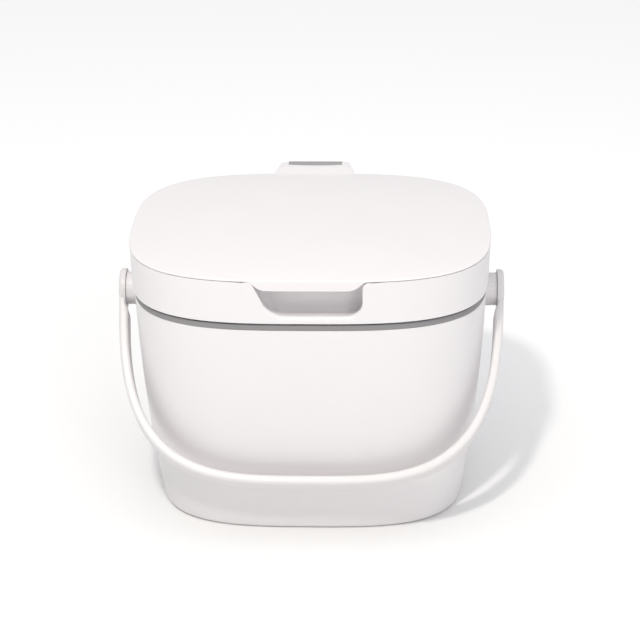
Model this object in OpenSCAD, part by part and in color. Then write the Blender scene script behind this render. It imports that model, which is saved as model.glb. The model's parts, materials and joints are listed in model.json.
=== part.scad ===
// Countertop compost caddy: a tapered oval bucket with a grey rim ring, a hinged
// two-shell lid with a finger recess, and a bail handle on two side hubs.
// Millimetres. +Z is up and +Y is the hinge side. The origin is the centre of the
// foot, on the surface that the bucket stands on.

/* [Outline] */
// Squareness of the oval seen from above: 2 is an ellipse
corner_power = 3.2; // [2.6:0.1:4]

/* [Lid] */
// Width of the lid
lid_w = 200; // [185:1:230]
// Depth of the lid, without the hinge tab
lid_d = 160; // [148:1:180]
// Height of the lid's side
lid_h = 25; // [24:0.5:32]
// Rise of the lid's middle above its edge
lid_crown = 2; // [0.5:0.5:5]
// How much each side of the lid leans in, down to its lower edge
lid_draft = 0.7; // [0.2:0.1:1.2]
// Wall of the lid's pieces
lid_wall = 2.2; // [1.8:0.1:2.6]
// Height of the top shell's edge where it lies on the skirt
cap_edge = 0.9; // [0.7:0.1:1.4]
// How far the liner's plug reaches down into the bucket
plug_h = 5.5; // [3:0.5:9]

/* [Finger recess] */
// Width of the recess
recess_w = 59; // [50:1:70]
// Depth of the recess into the lid, under the lip
recess_depth = 14; // [10:0.5:18]
// Height of the recess's lower edge above the lid's lower edge
recess_sill = 5; // [5:0.5:7]
// Radius of the recess's corners
recess_r = 8; // [6:0.5:8]
// Height of the lip over the recess
lip_h = 5.9; // [4:0.1:7]

/* [Bucket] */
// Height of the bucket's shoulder, under the rim ring
bucket_h = 128.4; // [110:0.2:160]
// Width of the bucket at its foot
base_w = 174; // [160:1:190]
// Depth of the bucket at its foot
base_d = 133; // [122:1:150]
// Outward bow of the bucket's sides at mid height
side_bow = 2; // [0:0.5:4]
// Wall of the bucket
bucket_wall = 2.6; // [2:0.1:3]
// Height of the bowl's floor above the table
bowl_z = 8; // [6:0.5:12]
// Fillet between the bowl's floor and walls
bowl_fillet = 16; // [10:1:24]
// Rounding of the foot's outer edge
foot_r = 2.5; // [1:0.5:3]
// Width of the foot's flat ring
foot_land = 2.5; // [2:0.5:4]

/* [Rim ring] */
// Height of the bucket's brim above its shoulder; the grey ring fills the groove between
brim_h = 3.6; // [3:0.1:6]
// Thickness of the brim that overhangs the grey ring
brim_t = 0.6; // [0.5:0.1:1.2]
// Gap between the brim and the lid's lower edge
seam_gap = 1; // [0.5:0.1:1.6]
// How far the ring lies inside the lid's lower edge
ring_inset = 0.9; // [0.5:0.1:1.5]
// Thickness of the ring
ring_t = 1.3; // [1:0.1:1.4]

/* [Hinge] */
// Distance of the hinge pin behind the lid's edge
hinge_back = 8; // [7.5:0.5:10]
// Height of the hinge pin above the lid's lower edge
hinge_up = 13; // [12:0.5:15]
// Diameter of the hinge pin
hinge_pin_d = 4; // [3:0.5:5]
// Diameter of the hinge barrel
barrel_d = 13.6; // [11:0.2:14]
// Width of the hinge post
post_w = 29; // [22:1:32]
// How far the hinge post runs down the bucket's back
post_drop = 26; // [20:1:34]
// Thickness of the hinge post's walls
post_rib = 2.4; // [1.8:0.1:3]
// Thickness of the lid's two hinge cheeks
cheek_t = 4.2; // [3:0.2:5]
// Width of the hinge tab where it leaves the lid
tab_w = 48; // [44:1:60]
// Length of the hinge tab behind the lid's edge
tab_l = 19.5; // [18.5:0.5:22]
// Width of the grey thumb pad
pad_w = 32.2; // [24:0.2:34]
// Length of the thumb pad
pad_l = 8.4; // [6:0.2:9]

/* [Handle] */
// Distance from the lid's side to the outside of the handle's ears
arm_gap = 8.8; // [8.6:0.2:13]
// Reach of the handle from its pivots to the outside of its grip
handle_reach = 116.4; // [114:0.2:125]
// Squareness of the handle's loop
loop_power = 3.4; // [2.8:0.1:3.8]
// How much each arm leans in on its way to the grip
loop_lean = 6; // [0:0.2:7]
// Width of the handle's strap
strap_w = 14.6; // [12:0.2:16]
// Thickness of the handle's strap
strap_t = 4.6; // [4:0.1:5.2]
// Thickness of the handle's ears
ear_t = 3.8; // [3.4:0.1:4.2]
// How far the ears stand proud of the strap
ear_proud = 0.1; // [0.1:0.1:0.6]
// Rounding of the ears' outer edge
ear_edge = 2; // [1:0.1:2.4]
// Gap between the hanging handle and the bucket's front
rest_gap = 1.4; // [0.6:0.1:12]
// Diameter of the handle's round ears
ear_d = 22.4; // [21.4:0.2:25]
// Diameter of the bucket's pivot hubs
hub_d = 18.6; // [17.6:0.2:20]
// Distance of the hubs' tops below the bucket's shoulder
hub_drop = 0.7; // [0.4:0.1:3]
// Diameter of the pivot pins
pivot_pin_d = 6; // [5:0.5:7]

/* [Hidden] */

// Clearances
cap_gap = 0.3;      // between the lid's top shell and its skirt
fit_gap = 0.3;      // between nested moulded pieces
run_gap = 0.06;     // radial, pins that turn
press_gap = 0.02;   // radial, pins that are pressed in

// Heights and half sizes that follow
brim_top = bucket_h + brim_h;
seam_z = brim_top + seam_gap;
lid_z = seam_z + lid_h;
lid_a = lid_w / 2;
lid_b = lid_d / 2;
rim_a = lid_a - lid_draft - ring_inset;
rim_b = lid_b - lid_draft - ring_inset;
cap_under = lid_z - cap_edge - 1.5;
liner_t = 2;
liner_z = brim_top + fit_gap;
liner_top = seam_z + 3;
hinge_y = lid_b + hinge_back;
hinge_z = seam_z + hinge_up;
tab_top = lid_z + 1.2;
tab_end = lid_b + tab_l;
tab_under = hinge_z + barrel_d / 2 + 2.6;
pivot_z = bucket_h - hub_drop - hub_d / 2;
ear_out = lid_a + arm_gap;
ear_in = ear_out - ear_t;
hub_out = ear_in - fit_gap;

// ---------------------------------------------------------------- outlines

function signed_power(v, p) = sign(v) * pow(abs(v), p);
function smooth(u) = let (k = min(1, max(0, u))) k * k * (3 - 2 * k);

// The lip's lower edge is level inside lip_x0 and runs out to the seam at lip_x1
lip_x0 = recess_w / 2 - 9.5;
lip_x1 = recess_w / 2 + 2.1;
function lip_part(x) =
    1 - smooth(pow(max(0, (abs(x) - lip_x0) / (lip_x1 - lip_x0)), 1.7));

// Angle from the front of the outline at which a lid of half width lid_a has width x
function front_angle(x) = asin(pow(x / lid_a, corner_power / 2));
lip_steps = 6;
corner_steps = 11;
front_end = front_angle(lip_x1);
front_angles = concat(
    [0, front_angle(lip_x0 * 0.6)],
    [for (i = [0:lip_steps]) front_angle(lip_x0 + (lip_x1 - lip_x0) * i / lip_steps)],
    [for (i = [1:corner_steps]) front_end + (90 - front_end) * i / corner_steps]
);
back_steps = 26;
outline_angles = concat(
    [for (d = front_angles) d - 90],
    [for (i = [1:back_steps - 1]) 180 * i / back_steps],
    [for (i = [len(front_angles) - 1:-1:1]) 270 - front_angles[i]]
);
n_around = len(outline_angles);

function oval(a, b, z) = [
    for (t = outline_angles) [
        a * signed_power(cos(t), 2 / corner_power),
        b * signed_power(sin(t), 2 / corner_power),
        z
    ]
];

// Height of the top shell's lower edge: the seam, or the lip over the recess
function cap_edge_z(x, y) = lid_z - cap_edge
    - (y < 0 ? (lip_h - cap_edge) * lip_part(x) : 0);
function oval_on_cap_edge(a, b, drop) = [
    for (p = oval(a, b, 0)) [p[0], p[1], cap_edge_z(p[0], p[1]) - drop]
];

// Skin over a list of rings with the same number of points. A closed skin joins its
// last ring to the first; an open one is shut with a flat face at each end.
module skin(rings, closed = false) {
    n = len(rings[0]);
    m = len(rings);
    last = closed ? m - 1 : m - 2;
    sides = [
        for (i = [0:last], j = [0:n - 1], h = [0, 1])
            let (k = (i + 1) % m, q = (j + 1) % n)
            h == 0
                ? [i * n + j, k * n + j, k * n + q]
                : [i * n + j, k * n + q, i * n + q]
    ];
    ends = closed ? [] : [
        [for (j = [0:n - 1]) j],
        [for (j = [n - 1:-1:0]) (m - 1) * n + j]
    ];
    polyhedron(points = [for (r = rings) each r], faces = concat(sides, ends), convexity = 8);
}

// A profile drawn in Y and Z, drawn out along X
module along_x(x0, x1) {
    translate([x0, 0, 0])
        rotate([90, 0, 90])
            linear_extrude(x1 - x0)
                children();
}

// A turned piece whose axis is X, at one side of the bucket
module on_side(side, y, z) {
    translate([0, y, z])
        rotate([0, 90 * side, 0])
            children();
}

// ---------------------------------------------------------------- bucket

function side_a(z) = base_w / 2 + (rim_a - base_w / 2) * z / bucket_h
    + side_bow * sin(180 * z / bucket_h);
function side_b(z) = base_d / 2 + (rim_b - base_d / 2) * z / bucket_h
    + side_bow * sin(180 * z / bucket_h);
function side_ring(z, inset) = oval(side_a(z) - inset, side_b(z) - inset, z);

fillet_steps = 5;
wall_steps = 4;
under_r = bowl_fillet + bucket_wall;
foot_in = foot_r + foot_land;
// Angle at which the floor's underside meets the inside of the foot
under_end = asin((under_r - foot_in) / under_r);

module bucket_shell() {
    underside = [
        for (i = [0:fillet_steps]) let (t = under_end * i / fillet_steps)
            side_ring(bowl_z + bowl_fillet - under_r * cos(t), under_r - under_r * sin(t))
    ];
    foot = [
        side_ring(0, foot_in), side_ring(0, foot_r), side_ring(foot_r * 0.3, foot_r * 0.3)
    ];
    outside_wall = [
        for (i = [0:wall_steps])
            side_ring(foot_r + (bucket_h - foot_r) * i / wall_steps, 0)
    ];
    // Groove for the grey ring, with the brim over it
    groove = ring_t + fit_gap / 2;
    brim = [
        for (p = [
            [groove, bucket_h], [groove, brim_top - brim_t], [0.1, brim_top - brim_t],
            [0.1, brim_top - 0.2], [0.3, brim_top], [bucket_wall - 0.3, brim_top],
            [bucket_wall, brim_top - 0.3]
        ]) oval(rim_a - p[0], rim_b - p[0], p[1])
    ];
    fillet_top = bowl_z + bowl_fillet;
    inside_wall = [
        for (i = [wall_steps:-1:1])
            side_ring(fillet_top + (bucket_h - fillet_top) * i / wall_steps, bucket_wall)
    ];
    inside_fillet = [
        for (i = [fillet_steps:-1:0]) let (t = 90 * i / fillet_steps)
            side_ring(bowl_z + bowl_fillet * (1 - cos(t)), bucket_wall + bowl_fillet * (1 - sin(t)))
    ];
    skin(concat(underside, foot, outside_wall, brim, inside_wall, inside_fillet));
}

hub_root = side_a(pivot_z) - bucket_wall / 2;
hub_flare = 1.5;
module pivot_hub(side) {
    on_side(side, 0, pivot_z)
        rotate_extrude($fn = 64)
            polygon([
                [0, hub_root], [hub_d / 2, hub_root], [hub_d / 2, hub_out - 0.6],
                [hub_d / 2 - 0.6, hub_out], [0, hub_out]
            ]);
}

// Blind bore of a hub, with a groove for the pin's snap ring
pin_depth = 6.4;
snap_h = 1.4;
snap_r = pivot_pin_d / 2 + 0.35;
module pivot_bore(side) {
    r = pivot_pin_d / 2 + run_gap;
    bottom = hub_out - pin_depth - fit_gap;
    groove = bottom + snap_h + 2 * fit_gap;
    on_side(side, 0, pivot_z)
        rotate_extrude($fn = 64)
            polygon([
                [0, bottom], [snap_r + 0.15, bottom], [snap_r + 0.15, groove],
                [r, groove + 0.4], [r, hub_out + 1], [0, hub_out + 1]
            ]);
}

// The post rises behind the lid and carries the hinge barrel
post_front = lid_b + 1;
post_back = hinge_y + 3;
post_foot_z = bucket_h - post_drop;
module post_profile() {
    translate([hinge_y, hinge_z]) circle(d = barrel_d, $fn = 64);
    polygon([
        [post_front + 0.3, hinge_z],
        [post_front + 0.3, brim_top + 0.4],
        [rim_b + 0.6, bucket_h - 0.5],
        [side_b(bucket_h - 3) - bucket_wall / 2, bucket_h - 3],
        [side_b(post_foot_z) - bucket_wall / 2, post_foot_z],
        [side_b(post_foot_z) + 0.6, post_foot_z],
        [post_back, bucket_h - 8],
        [post_back, hinge_z]
    ]);
}

// Two pockets, open downward, keep the post's walls even as in any moulding
module post_pockets() {
    inner = post_w / 2 - post_rib;
    throat_z = bucket_h - post_drop / 2;
    mouth_z = post_foot_z - post_drop / 2;
    for (x = [-inner, post_rib / 2])
        along_x(x, x + inner - post_rib / 2)
            polygon([
                [post_front + post_rib, brim_top - 1],
                [side_b(throat_z) + post_rib / 2, throat_z],
                [side_b(mouth_z) + post_rib / 2, mouth_z],
                [post_back - post_rib, mouth_z],
                [post_back - post_rib, brim_top - 1]
            ]);
}

module bucket() {
    color("whitesmoke")
    difference() {
        union() {
            bucket_shell();
            for (side = [-1, 1]) pivot_hub(side);
            difference() {
                along_x(-post_w / 2, post_w / 2) post_profile();
                post_pockets();
            }
        }
        for (side = [-1, 1]) pivot_bore(side);
        translate([-post_w / 2 - 1, hinge_y, hinge_z])
            rotate([0, 90, 0])
                cylinder(d = hinge_pin_d + 2 * run_gap, h = post_w + 2, $fn = 48);
    }
}

// A soft band, stretched over the brim into the groove under it
module rim_ring() {
    top = brim_top - brim_t - fit_gap / 3;
    color("darkgray")
    skin([
        for (p = [
            [0.2, bucket_h], [0, bucket_h + 0.2], [0, top - 0.2], [0.2, top],
            [ring_t, top], [ring_t, bucket_h]
        ]) oval(rim_a - p[0], rim_b - p[0], p[1])
    ], closed = true);
}

// ---------------------------------------------------------------- lid

// Rings of the crowned top face, from the edge to the middle
crown_steps = [0.94, 0.84, 0.66, 0.42, 0.2];
function crown_ring(k, inset, drop) = oval(
    (lid_a - inset) * k, (lid_b - inset) * k,
    lid_z + lid_crown * (1 - pow(k, 3)) - drop
);

lip_t = 3;
module lid_top() {
    nest = lid_wall + fit_gap;
    color("whitesmoke")
    skin(concat(
        [for (i = [len(crown_steps) - 1:-1:0]) crown_ring(crown_steps[i], lip_t, lid_z - cap_under)],
        [
            oval(lid_a - lip_t, lid_b - lip_t, cap_under),
            oval_on_cap_edge(lid_a - nest, lid_b - nest, 0),
            oval_on_cap_edge(lid_a - 0.05, lid_b - 0.05, 0),
            oval(lid_a, lid_b, lid_z - 0.5),
            oval(lid_a - 0.15, lid_b - 0.15, lid_z - 0.15),
            oval(lid_a - 0.5, lid_b - 0.5, lid_z)
        ],
        [for (k = crown_steps) crown_ring(k, 0.5, 0)]
    ));
}

// Solid that is cut for the fingers; grow makes the pocket's outside
recess_z = seam_z + recess_sill + recess_r;
module recess(grow) {
    x = recess_w / 2 - recess_r;
    r = recess_r + grow;
    hull()
        for (side = [-1, 1]) {
            translate([side * x, 1 - lid_b, recess_z])
                sphere(r, $fn = 24);
            translate([side * x, recess_depth - recess_r - lid_b, recess_z + 4])
                cylinder(r = r, h = lid_h, $fn = 24);
        }
}

ledge_z = liner_top + fit_gap;
module skirt_band() {
    function wall(z) = lid_draft * (lid_z - z) / lid_h;
    function at(inset, z) = oval(lid_a - wall(z) - inset, lid_b - wall(z) - inset, z);
    skin([
        at(0.3, seam_z),
        at(0, seam_z + 0.3),
        oval_on_cap_edge(lid_a - 0.05, lid_b - 0.05, cap_gap),
        oval_on_cap_edge(lid_a - lid_wall, lid_b - lid_wall, cap_gap),
        at(lid_wall, ledge_z + 3),
        at(lid_wall + 1.4, ledge_z + 1.6),
        at(lid_wall + 1.4, ledge_z + 0.4),
        at(lid_wall, ledge_z),
        at(lid_wall, seam_z)
    ], closed = true);
}

// Tab seen from the side and from above
module tab_side(grow) {
    r = 3.5;
    front = lid_b - lid_wall / 2;
    offset(delta = grow)
        difference() {
            hull() {
                translate([tab_end - r, tab_top - r]) circle(r, $fn = 32);
                translate([front, tab_under]) square([1, tab_top - tab_under]);
                translate([tab_end - 3, tab_under - 2]) square([3, 1]);
            }
            translate([front - 1, tab_under - 10]) square([tab_end - 3 - front + 1, 10]);
            translate([front - 1, lid_z - cap_edge - cap_gap]) square([lid_wall / 2 + 1.4, 10]);
        }
}
module tab_plan() {
    r = 4;
    end_w = tab_w - 9;
    hull() {
        translate([-tab_w / 2, lid_b - 2]) square([tab_w, 1.5]);
        for (side = [-1, 1])
            translate([side * (end_w / 2 - r), tab_end - r]) circle(r, $fn = 32);
    }
}
module pad_plan(grow) {
    offset(delta = grow)
        hull() {
            translate([-pad_w / 2, tab_end - pad_l]) square([pad_w, pad_l + 2]);
            intersection() {
                translate([0, tab_end - pad_l + 89]) circle(90, $fn = 180);
                translate([-pad_w / 3, tab_end - pad_l - 2]) square([pad_w * 2 / 3, 4]);
            }
        }
}
// The pad is a skin wrapped over the tab's rear edge
pad_t = 1.6;
module pad_solid(side_grow, plan_grow) {
    intersection() {
        along_x(-lid_a, lid_a)
            difference() {
                tab_side(side_grow);
                tab_side(-pad_t - plan_grow);
                translate([0, 0]) square([tab_end, tab_under - 1]);
            }
        translate([0, 0, tab_under - 5])
            linear_extrude(20) pad_plan(plan_grow);
    }
}

cheek_x = post_w / 2 + fit_gap;
module hinge_cheek(side) {
    x0 = side > 0 ? cheek_x : -cheek_x - cheek_t;
    along_x(x0, x0 + cheek_t)
        union() {
            translate([hinge_y, hinge_z]) circle(d = barrel_d - 1, $fn = 64);
            translate([hinge_y - barrel_d / 2 + 0.5, hinge_z])
                square([barrel_d - 1, tab_under - hinge_z + 1]);
        }
}

module lid_skirt() {
    color("whitesmoke")
    difference() {
        union() {
            skirt_band();
            intersection() {
                recess(lid_wall - 0.2);
                translate([-lid_a, lid_draft + 0.6 * lid_wall - lid_b, ledge_z + 0.2])
                    cube([lid_w, lid_b, cap_under - fit_gap - ledge_z - 0.2]);
            }
            intersection() {
                along_x(-tab_w / 2, tab_w / 2) tab_side(0);
                linear_extrude(lid_z * 2) tab_plan();
            }
            for (side = [-1, 1]) hinge_cheek(side);
        }
        recess(0);
        pad_solid(2, 0.1);
        translate([-cheek_x - cheek_t - 1, hinge_y, hinge_z])
            rotate([0, 90, 0])
                cylinder(d = hinge_pin_d + 2 * press_gap, h = 2 * (cheek_x + cheek_t + 1), $fn = 48);
    }
}

module thumb_pad() {
    color("gray") pad_solid(0.25, 0);
}

// The liner closes the lid from below; its plug reaches into the bucket's mouth
module lid_liner() {
    edge = lid_draft + lid_wall + fit_gap;
    plug = ring_inset + lid_draft + bucket_wall + 1.8;
    plug_z = brim_top - plug_h;
    color("whitesmoke")
    skin([
        for (p = [
            [plug + liner_t + 8, liner_top - liner_t], [plug + liner_t, liner_top - liner_t],
            [plug + liner_t, plug_z + 0.6], [plug + 1.6, plug_z], [plug + 0.9, plug_z],
            [plug + 0.3, plug_z + 0.6], [plug, liner_z], [edge, liner_z], [edge, liner_top],
            [edge + 8, liner_top]
        ]) oval(lid_a - p[0], lid_b - p[0], p[1])
    ]);
}

module hinge_pin() {
    h = 2 * (cheek_x + cheek_t) - 0.6;
    color("silver")
        translate([-h / 2, hinge_y, hinge_z])
            rotate([0, 90, 0])
                cylinder(d = hinge_pin_d, h = h, $fn = 48);
}

// ---------------------------------------------------------------- handle

// Angle below the horizontal at which the handle hangs. Each pass turns it until the
// lower inside edge of its grip is rest_gap away from the bucket's front.
function hang_angle(angle, passes) = passes == 0 ? angle :
    let (
        reach = handle_reach - strap_t,
        low_z = pivot_z - reach * sin(angle) - strap_w / 2 * cos(angle),
        out_y = side_b(low_z) + rest_gap + strap_w / 2 * sin(angle)
    )
    hang_angle(acos(out_y / reach), passes - 1);
handle_tilt = hang_angle(45, 8);

// Outside of the loop in the handle's own plane: X across, Y away from the pivots
loop_a = ear_out - ear_proud;
loop_steps = 18;
loop_start = asin(pow(ear_d * 0.3 / handle_reach, loop_power / 2));
function loop_angle(u) =
    let (p = loop_power / 2, f = pow(u, p), g = pow(1 - u, p))
    loop_start + (90 - loop_start) * f / (f + g);
function loop_point(u) =
    let (t = loop_angle(u), reach = pow(max(0, sin(t)), 2 / loop_power))
    [
        (loop_a - loop_lean * pow(reach, 1.5)) * pow(max(0, cos(t)), 2 / loop_power),
        handle_reach * reach
    ];
function loop_tangent(u) =
    let (e = 0.004, d = loop_point(min(1, u + e)) - loop_point(max(0, u - e))) d / norm(d);

// The strap thins out to the ear, so that it passes outside the hub
ear_strap_t = ear_t - ear_proud - fit_gap;
strap_ramp = 6;
function strap_depth(u) = let (r = loop_point(u)[1])
    ear_strap_t + (strap_t - ear_strap_t) * smooth((r - hub_d / 2 - 1) / strap_ramp);

// Round-edged section: depth inward from the loop's outside, and height
strap_r = 1.8;
function strap_section(depth) = [
    for (c = [[0, 1], [1, 1], [1, -1], [0, -1]], i = [0:2])
        let (
            rr = min(strap_r, depth / 2 - 0.05),
            turn = (c == [0, 1] ? 180 : c == [1, 1] ? 90 : c == [1, -1] ? 0 : 270) - 45 * i
        )
        [
            (c[0] == 0 ? rr : depth - rr) + rr * cos(turn),
            c[1] * (strap_w / 2 - rr) + rr * sin(turn)
        ]
];
function strap_ring(u, side) =
    let (p = loop_point(u), t = loop_tangent(u), n = [-t[1], t[0]])
    [for (s = strap_section(strap_depth(u)))
        [side * (p[0] + n[0] * s[0]), -(p[1] + n[1] * s[0]), s[1]]];

module handle_loop() {
    right = [for (i = [0:loop_steps]) strap_ring(i / loop_steps, 1)];
    left = [for (i = [loop_steps - 1:-1:0]) strap_ring(i / loop_steps, -1)];
    skin(concat(right, left));
}

module handle_ear(side) {
    edge = [
        for (t = [0:22.5:90])
            [ear_d / 2 - ear_edge * (1 - cos(t)), ear_out - ear_edge * (1 - sin(t))]
    ];
    rotate([0, 90 * side, 0])
        rotate_extrude($fn = 72)
            polygon(concat(
                [[0, ear_in], [ear_d / 2 - 0.6, ear_in], [ear_d / 2, ear_in + 0.6]],
                edge,
                [[0, ear_out]]
            ));
}

head_d = pivot_pin_d + 5;
head_t = 1.5;
module pin_hole(side) {
    rotate([0, 90 * side, 0]) {
        translate([0, 0, ear_in - 1])
            cylinder(d = pivot_pin_d + 2 * press_gap, h = ear_t + 2, $fn = 64);
        translate([0, 0, ear_out - head_t])
            cylinder(d = head_d + 2 * press_gap, h = head_t + 1, $fn = 64);
    }
}

module handle() {
    color("whitesmoke")
    translate([0, 0, pivot_z])
        rotate([handle_tilt, 0, 0])
            difference() {
                union() {
                    handle_loop();
                    for (side = [-1, 1]) handle_ear(side);
                }
                for (side = [-1, 1]) pin_hole(side);
            }
}

// Flush head, shank and a snap ring that clicks into the hub's groove
module pivot_pin(side) {
    r = pivot_pin_d / 2;
    tip = hub_out - pin_depth;
    color("whitesmoke")
    on_side(side, 0, pivot_z)
        rotate_extrude($fn = 64)
            polygon([
                [0, tip], [r - 0.6, tip], [snap_r, tip + 0.7], [snap_r, tip + snap_h - 0.3],
                [r, tip + snap_h], [r, ear_out - head_t], [head_d / 2, ear_out - head_t],
                [head_d / 2, ear_out - 0.3], [head_d / 2 - 0.3, ear_out], [0, ear_out]
            ]);
}

bucket();
rim_ring();
lid_top();
lid_skirt();
lid_liner();
thumb_pad();
hinge_pin();
handle();
pivot_pin(-1);  // pivot_pin_left
pivot_pin(1);  // pivot_pin_right
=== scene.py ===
# %% [markdown]
# # A compost caddy with a hinged lid
#
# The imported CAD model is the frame: it fixes every size and every joint. This
# lesson dresses it. Each moulded piece is drawn again with smooth, rounded edges,
# the pieces get their plastics, rubber and steel, and a soft studio is lit.
#
# Two ways would do for the shapes. A subdivision cage is quick to pull about, but
# it drifts from the sizes of the CAD. Here edge loops are extruded from one known
# height to the next instead, so that every wall lands where the CAD says.

# %% Load the frame
import json
import math

import bmesh
import bpy
from mathutils import Matrix, Vector

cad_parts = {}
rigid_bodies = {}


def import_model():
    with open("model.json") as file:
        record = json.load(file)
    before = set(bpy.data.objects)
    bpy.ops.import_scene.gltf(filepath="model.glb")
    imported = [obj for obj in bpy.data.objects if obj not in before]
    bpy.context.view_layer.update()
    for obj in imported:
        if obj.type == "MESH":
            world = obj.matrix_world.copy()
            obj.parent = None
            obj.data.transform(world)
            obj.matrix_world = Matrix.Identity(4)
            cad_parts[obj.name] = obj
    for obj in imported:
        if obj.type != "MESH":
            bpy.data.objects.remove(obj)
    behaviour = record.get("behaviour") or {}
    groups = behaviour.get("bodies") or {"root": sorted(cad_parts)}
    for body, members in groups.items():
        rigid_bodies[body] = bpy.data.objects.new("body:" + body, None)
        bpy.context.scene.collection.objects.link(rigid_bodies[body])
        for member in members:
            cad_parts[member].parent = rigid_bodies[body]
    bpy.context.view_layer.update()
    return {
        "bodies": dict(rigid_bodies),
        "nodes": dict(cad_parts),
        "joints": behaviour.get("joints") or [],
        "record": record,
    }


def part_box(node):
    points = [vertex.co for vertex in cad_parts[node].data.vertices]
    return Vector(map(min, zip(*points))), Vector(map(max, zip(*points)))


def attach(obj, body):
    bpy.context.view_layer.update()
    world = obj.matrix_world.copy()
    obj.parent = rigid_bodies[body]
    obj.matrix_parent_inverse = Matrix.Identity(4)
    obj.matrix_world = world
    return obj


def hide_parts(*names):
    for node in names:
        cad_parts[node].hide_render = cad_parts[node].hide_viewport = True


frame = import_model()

MM = 0.001
scene = bpy.context.scene
print("CAD nodes:", ", ".join(sorted(frame["nodes"])))

# %% [markdown]
# ## The sizes that the pieces share
#
# A maker's drawing states each size once. The widths, heights and axes are read
# from the frame, so that they can't drift from it. What a box doesn't tell, such
# as a wall's thickness or the gap between two pieces, is written beside them.

# %% Read the main sizes
def box_mm(node):
    """Lowest and highest corner of a CAD node, in millimetres."""
    low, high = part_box(node)
    return low / MM, high / MM


cap_high = box_mm("lid_top")[1]
ring_low, ring_high = box_mm("rim_ring")
LID_A, LID_B = cap_high.x, cap_high.y         # half width and half depth of the lid
SEAM_Z = box_mm("lid_skirt")[0].z             # the lid's lower edge
LID_H, CROWN = 25.0, 2.0                      # the lid's side, and the rise of its middle
LID_Z = SEAM_Z + LID_H                        # the lid's upper edge
LID_DRAFT = 0.7                               # the lid's side leans in this much
RIM_A, RIM_B = ring_high.x, ring_high.y       # the grey ring and the bucket's mouth
SHOULDER_Z = ring_low.z                       # the bucket's shoulder, under the ring
RIM_TOP = SEAM_Z - 1.4                        # the top of the bucket's rim
HINGE, PIVOT = (Vector(joint["pos_m"]) / MM for joint in frame["joints"])
print("lid", LID_A, LID_B, SEAM_Z, LID_Z, "rim", RIM_A, RIM_B, SHOULDER_Z, RIM_TOP)
print("hinge axis", tuple(HINGE), "handle axis", tuple(PIVOT))

# %% [markdown]
# ## Helpers for moulded shells
#
# A bucket, a lid and a ring are all ovals stacked above one another. On a lathe
# they would be turned, but these ovals are squarer than an ellipse, so there is
# no axis to spin about. A circle of edges is pushed out to the oval once. After
# that it is extruded, scaled and lifted again and again.
#
# Moulded plastic has no sharp corners: a cutter's radius is left on each. The
# profile is written as corners with a radius, and one helper turns each corner
# into a short arc.

# %% Round the corners of a profile
def rounded(corners, steps=5):
    """Turns corners (u, v, radius) into points (u, v), with an arc at each radius."""
    line = []
    for i, (u, v, radius) in enumerate(corners):
        here = Vector((u, v))
        if radius == 0:
            line.append((u, v))
            continue
        back = (Vector(corners[i - 1][:2]) - here).normalized()
        on = (Vector(corners[(i + 1) % len(corners)][:2]) - here).normalized()
        half = back.angle(on) / 2
        centre = here + (back + on).normalized() * radius / math.sin(half)
        start = here + back * radius / math.tan(half) - centre
        end = here + on * radius / math.tan(half) - centre
        turn = start.angle_signed(end)
        for k in range(steps + 1):
            arm = Vector(start)
            arm.rotate(Matrix.Rotation(-turn * k / steps, 2))
            line.append(tuple(centre + arm))
    return line


print("a square corner of radius 1 becomes", len(rounded([(0, 0, 0), (5, 0, 1), (5, 5, 0)])), "points")


# %% Push a circle out to the oval
SQUARENESS = 3.2                              # 2 would be an ellipse


def oval_loop(bm, around):
    """A loop of vertices on an oval of half width and half depth 1."""
    verts = bmesh.ops.create_circle(bm, segments=around, radius=1)["verts"]
    for v in verts:
        v.co /= (abs(v.co.x) ** SQUARENESS + abs(v.co.y) ** SQUARENESS) ** (1 / SQUARENESS)
    return verts


print("an oval bulges", round(0.5 ** (1 / SQUARENESS), 2), "of the way to its corners, a circle 0.71")


# %% Extrude an oval from row to row
def extrude_loop(bm, edges):
    """Extrudes an edge loop and returns the new vertices and the new loop's edges."""
    made = bmesh.ops.extrude_edge_only(bm, edges=edges)["geom"]
    verts = [g for g in made if isinstance(g, bmesh.types.BMVert)]
    fresh = set(verts)
    loop = [g for g in made if isinstance(g, bmesh.types.BMEdge) and set(g.verts) <= fresh]
    return verts, loop


def oval_shell(rows, around=240, closed=False):
    """A skin over ovals. Each row is (half width, half depth, height); a height may
    also be a function of x and y. A closed skin joins its last row to its first."""
    bm = bmesh.new()
    verts = oval_loop(bm, around)
    first = loop = bm.edges[:]
    a = b = 1
    for i, (row_a, row_b, height) in enumerate(rows):
        if i:
            verts, loop = extrude_loop(bm, loop)
        bmesh.ops.scale(bm, vec=(row_a / a, row_b / b, 1), verts=verts)
        a, b = row_a, row_b
        for v in verts:
            v.co.z = height(v.co.x, v.co.y) if callable(height) else height
    if closed:
        bmesh.ops.bridge_loops(bm, edges=first + loop)
    else:
        bmesh.ops.contextual_create(bm, geom=first)
        bmesh.ops.contextual_create(bm, geom=loop)
    return bm


# %% Finish a piece
pieces = {}


def make_piece(name, parts, body, stands_for=(), sharp=40):
    """Joins bmeshes drawn in millimetres into one piece that rides on a body."""
    mesh = bpy.data.meshes.new(name)
    whole = bmesh.new()
    for part in parts if isinstance(parts, list) else [parts]:
        bmesh.ops.remove_doubles(part, verts=part.verts, dist=1e-4)
        bmesh.ops.recalc_face_normals(part, faces=part.faces)
        bmesh.ops.scale(part, vec=(MM, MM, MM), verts=part.verts)
        part.to_mesh(mesh)
        whole.from_mesh(mesh)
        part.free()
    whole.to_mesh(mesh)
    whole.free()
    mesh.shade_smooth()
    mesh.set_sharp_from_angle(angle=math.radians(sharp))
    piece = bpy.data.objects.new(name, mesh)
    scene.collection.objects.link(piece)
    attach(piece, body)
    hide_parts(*stands_for)
    pieces[name] = piece
    print(name, "has", len(mesh.polygons), "faces")
    return piece


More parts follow.
